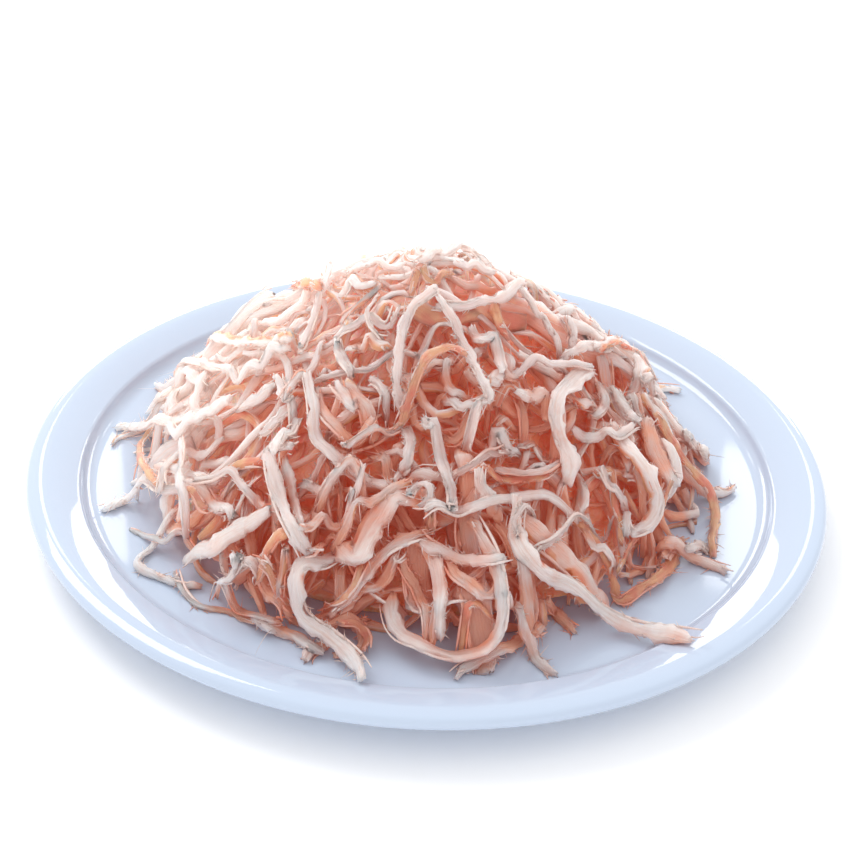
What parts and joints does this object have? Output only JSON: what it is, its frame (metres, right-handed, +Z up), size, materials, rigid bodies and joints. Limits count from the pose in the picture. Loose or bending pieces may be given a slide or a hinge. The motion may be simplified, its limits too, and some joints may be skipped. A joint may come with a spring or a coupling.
{
  "type": "shredded dried squid on a plate",
  "caption": "Loose heap of shredded dried squid, cream strips with orange-red skin edges, on a round white rimmed plate with a foot ring.",
  "frame": {"origin": "middle of the plate's foot ring, on the plane it stands on", "axes": "+Z up through the heap, -Y towards the front of the heap"},
  "size_m": [0.22, 0.22, 0.0684],
  "materials": {
    "porcelain": "glossy white glaze",
    "dried_squid": "fibrous, satin, cream with orange-red skin"
  },
  "bodies": {
    "root": {"plate": "porcelain", "squid_heap": "dried_squid"}
  },
  "joints": []
}
